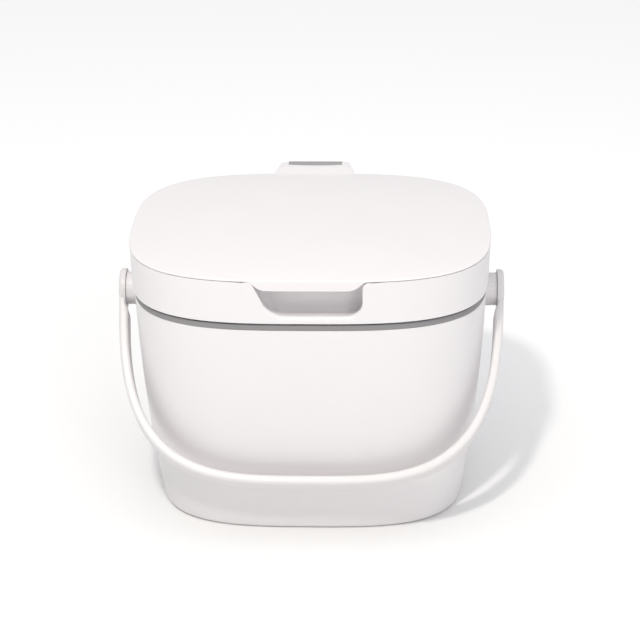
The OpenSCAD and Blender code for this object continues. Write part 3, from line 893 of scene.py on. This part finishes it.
# %% Make a finish
class Finish:
    """A procedural material, built round one Principled shader."""

    def __init__(self, name, **constants):
        self.material = bpy.data.materials.new(name)
        self.material.use_nodes = True
        self.tree = self.material.node_tree
        self.shader = self.tree.nodes["Principled BSDF"]
        for socket, value in constants.items():
            self.shader.inputs[socket.replace("_", " ").title().replace("Ior", "IOR")].default_value = value

    def node(self, kind, settings=None, sockets=None):
        """Adds a node, applies its settings, then fills its sockets with values or wires."""
        made = self.tree.nodes.new(kind)
        for key, value in (settings or {}).items():
            if key == "stops":
                ramp = made.color_ramp
                for spare in range(len(value) - 2):
                    ramp.elements.new(0.5)
                for element, (place, shade) in zip(ramp.elements, value):
                    element.position, element.color = place, (*shade, 1)
            else:
                setattr(made, key, value)
        for key, value in (sockets or {}).items():
            self.feed(made.inputs[key], value)
        return made

    def feed(self, socket, value):
        if isinstance(value, Wire):
            self.tree.links.new(value.socket, socket)
        else:
            socket.default_value = value

    def noise(self, scale, detail=3.0):
        """Noise between 0 and 1 on the piece's own coordinates, which are metres."""
        place = Wire(self, self.node("ShaderNodeTexCoord").outputs["Object"])
        made = self.node("ShaderNodeTexNoise", None, {"Vector": place, "Scale": scale, "Detail": detail})
        return Wire(self, made.outputs["Fac"])

    def distance(self):
        """Distance from the piece's origin, in metres."""
        place = Wire(self, self.node("ShaderNodeTexCoord").outputs["Object"])
        made = self.node("ShaderNodeVectorMath", {"operation": "LENGTH"}, {0: place})
        return Wire(self, made.outputs["Value"])

    def shade(self, wire, dark, light):
        """Mixes two colours by a wire."""
        made = self.node(
            "ShaderNodeMix", {"data_type": "RGBA"}, {"Factor": wire, 6: (*dark, 1), 7: (*light, 1)}
        )
        return Wire(self, made.outputs[2])

    def bump(self, height, distance, strength=1.0):
        sockets = {"Height": height, "Distance": distance, "Strength": strength}
        made = self.node("ShaderNodeBump", None, sockets)
        return Wire(self, made.outputs["Normal"])

    def use(self, **wires):
        for socket, wire in wires.items():
            self.feed(self.shader.inputs[socket.replace("_", " ").title()], wire)
        return self


# %% [markdown]
# ## The plastics, the rubber and the steel
#
# The white mouldings are polypropylene with a fine satin texture, which the mould's
# spark-eroded face leaves on them. So the gloss is broad, the colour is a warm
# white that hardly varies, and a very fine bump scatters the highlights. The
# liner is smoother, because food must wipe off it. Ring and pad are soft
# elastomer: darker, almost without gloss, and with a coarser grain.

# %% Mix the finishes
def satin_plastic(name, light, dark, rough, grain):
    finish = Finish(name, ior=1.49)
    cloudy, fine = finish.noise(26, 4), finish.noise(5200, 2)
    colour = finish.shade(cloudy * 0.7 + fine * 0.3, dark, light)
    gloss = cloudy * 0.06 + fine * 0.05 + (rough - 0.055)
    return finish.use(base_color=colour, roughness=gloss, normal=finish.bump(fine, grain)).material


def elastomer(name, light, dark, rough):
    finish = Finish(name, ior=1.45)
    cloudy, grain = finish.noise(60, 3), finish.noise(3400, 3)
    colour = finish.shade(cloudy * 0.5 + grain * 0.5, dark, light)
    gloss = grain * 0.14 + (rough - 0.07)
    return finish.use(base_color=colour, roughness=gloss, normal=finish.bump(grain, 0.00003)).material


FINE, FINER = 0.000004, 0.000002              # how deep the mould's texture is, in metres
white = satin_plastic(
    "white satin polypropylene", (0.80, 0.778, 0.788), (0.775, 0.752, 0.762), rough=0.42, grain=FINE
)
# A darker copy of the same white for the handle and its pivot buttons: painted shade that tones down how
# much light the strap's faces catch.
handle_white_painted_shade = satin_plastic(
    "white handle polypropylene, painted darker", (0.73, 0.712, 0.715), (0.71, 0.692, 0.695), rough=0.42, grain=FINE
)
white_liner = satin_plastic(
    "smooth liner polypropylene", (0.80, 0.80, 0.80), (0.78, 0.78, 0.78), rough=0.30, grain=FINER
)
ring_rubber = elastomer("grey ring elastomer", (0.27, 0.265, 0.27), (0.235, 0.23, 0.235), 0.55)
pad_rubber = elastomer("grey pad elastomer", (0.355, 0.345, 0.35), (0.32, 0.31, 0.315), 0.6)

steel_finish = Finish("brushed pin steel", metallic=1.0)
brushed = steel_finish.noise(900, 2)
steel_colour = steel_finish.shade(brushed, (0.52, 0.52, 0.53), (0.62, 0.62, 0.63))
steel = steel_finish.use(base_color=steel_colour, roughness=brushed * 0.12 + 0.24).material
print("the steel is", steel.name)

# %% Put each finish on its pieces

finishes = {
    "bucket_shell": white, "pivot_hubs": white, "hinge_post": white, "lid_cap": white,
    "lid_skirt_wall": white, "hinge_tab": white, "lid_liner_tray": white_liner,
    "handle_strap": handle_white_painted_shade, "pivot_button_left": handle_white_painted_shade, "pivot_button_right": handle_white_painted_shade,
    "rim_ring_band": ring_rubber, "thumb_pad_grip": pad_rubber, "hinge_pin_rod": steel,
}
for name, piece in pieces.items():
    piece.data.materials.clear()
    piece.data.materials.append(finishes[name])
print(len(pieces), "pieces have a finish")

# %% [markdown]
# ## The studio
#
# A white object on a white floor shows its shape only by soft shadows. One small
# key light stands high at the front left and draws the shadow on the floor. A wide
# lamp at the front right fills it a little. The rest comes from all round, as from
# a white tent: strongest from straight above, with a pale band along the horizon.
#
# The floor is a shade greyer near the object and brighter further out. This is painted light: the brighter
# far floor makes up for the key lamp's falloff with distance, and the greyer near floor keeps a clipped
# white from hiding the soft edge of the shadow.

# %% Lay the floor
floor_mesh = bmesh.new()
bmesh.ops.create_grid(floor_mesh, x_segments=8, y_segments=8, size=4)
floor_data = bpy.data.meshes.new("floor")
floor_mesh.to_mesh(floor_data)
floor_mesh.free()
floor = bpy.data.objects.new("floor", floor_data)
scene.collection.objects.link(floor)
floor_finish = Finish("pale floor", roughness=0.9)
# Painted light: the floor's colour brightens with distance from the object, standing in for the key lamp's
# falloff.
out = (floor_finish.distance() * 3.2 - 0.45).clamped()
floor_finish.use(base_color=floor_finish.shade(out, (0.865, 0.865, 0.865), (0.985, 0.985, 0.985)))
floor_data.materials.append(floor_finish.material)
print("the floor is", floor.dimensions.x, "m wide")

# %% Light it
def aim(thing, place, target):
    thing.location = Vector(place)
    thing.rotation_mode = "QUATERNION"
    thing.rotation_quaternion = (Vector(target) - Vector(place)).to_track_quat("-Z", "Y")


def lamp(name, kind, place, target, power, size, colour=(1, 1, 1)):
    data = bpy.data.lights.new(name, kind)
    data.energy, data.color = power, colour
    if kind == "AREA":
        data.shape, data.size, data.size_y = "RECTANGLE", *size
    else:
        data.shadow_soft_size = size
    made = bpy.data.objects.new(name, data)
    scene.collection.objects.link(made)
    aim(made, place, target)
    return made


MIDDLE_OF_BUCKET = (0, 0, 0.08)
lamps = [
    lamp("key", "POINT", (-0.213, -0.696, 1.138), MIDDLE_OF_BUCKET, 25.8, 0.045, (1.0, 0.965, 0.89)),
    lamp("fill", "AREA", (0.75, -1.45, 0.75), MIDDLE_OF_BUCKET, 4.3, (0.7, 0.7)),
]
print(len(lamps), "lamps")


# %% Raise the tent
class Tent(Finish):
    """Light from all round. Its strength may differ from side to side."""

    def __init__(self, name):
        self.world = bpy.data.worlds.new(name)
        self.world.use_nodes = True
        self.tree = self.world.node_tree
        self.shader = self.tree.nodes["Background"]
        self.shader.inputs["Color"].default_value = (0.985, 0.985, 1.0, 1.0)

    def towards(self):
        """The three parts of the direction that light comes from."""
        place = Wire(self, self.node("ShaderNodeTexCoord").outputs["Generated"])
        made = self.node("ShaderNodeSeparateXYZ", None, {"Vector": place})
        return [Wire(self, socket) for socket in made.outputs]


UP_LIGHT, LEVEL_LIGHT = 1.70, 0.48            # straight above, and along the horizon
tent = Tent("studio tent")
x, y, z = tent.towards()
up, level = z.above(0.0), (1.0 - z * z * 11.0).above(0.0)
tent.use(strength=up * up * UP_LIGHT + level * LEVEL_LIGHT)
scene.world = tent.world
print("the tent is", UP_LIGHT, "straight above and", LEVEL_LIGHT, "at the horizon")

# %% [markdown]
# ## The camera
#
# A long lens from a little over a metre away keeps the sides nearly upright. It
# looks down at 25 degrees, so that lid and front show about equally.

# %% Set the camera up
AZIMUTH, ELEVATION, ROLL = math.radians(1.66), math.radians(24.96), math.radians(-0.49)
back = Vector(
    (math.sin(AZIMUTH) * math.cos(ELEVATION), -math.cos(AZIMUTH) * math.cos(ELEVATION), math.sin(ELEVATION))
)
camera_data = bpy.data.cameras.new("camera")
camera = bpy.data.objects.new("camera", camera_data)
scene.collection.objects.link(camera)
scene.camera = camera
camera.location = (0.03352, -0.9967, 0.56262)
camera.rotation_mode = "QUATERNION"
upright_view = (-back).to_track_quat("-Z", "Y").to_matrix()
camera.rotation_quaternion = (upright_view @ Matrix.Rotation(ROLL, 3, "Z")).to_quaternion()
camera_data.lens, camera_data.sensor_width = 107.9, 36.0
camera_data.clip_start, camera_data.clip_end = 0.05, 20.0
scene.view_settings.view_transform = "Standard"
print("camera at", tuple(round(c, 3) for c in camera.location))

# %% Update the view layer
bpy.context.view_layer.update()
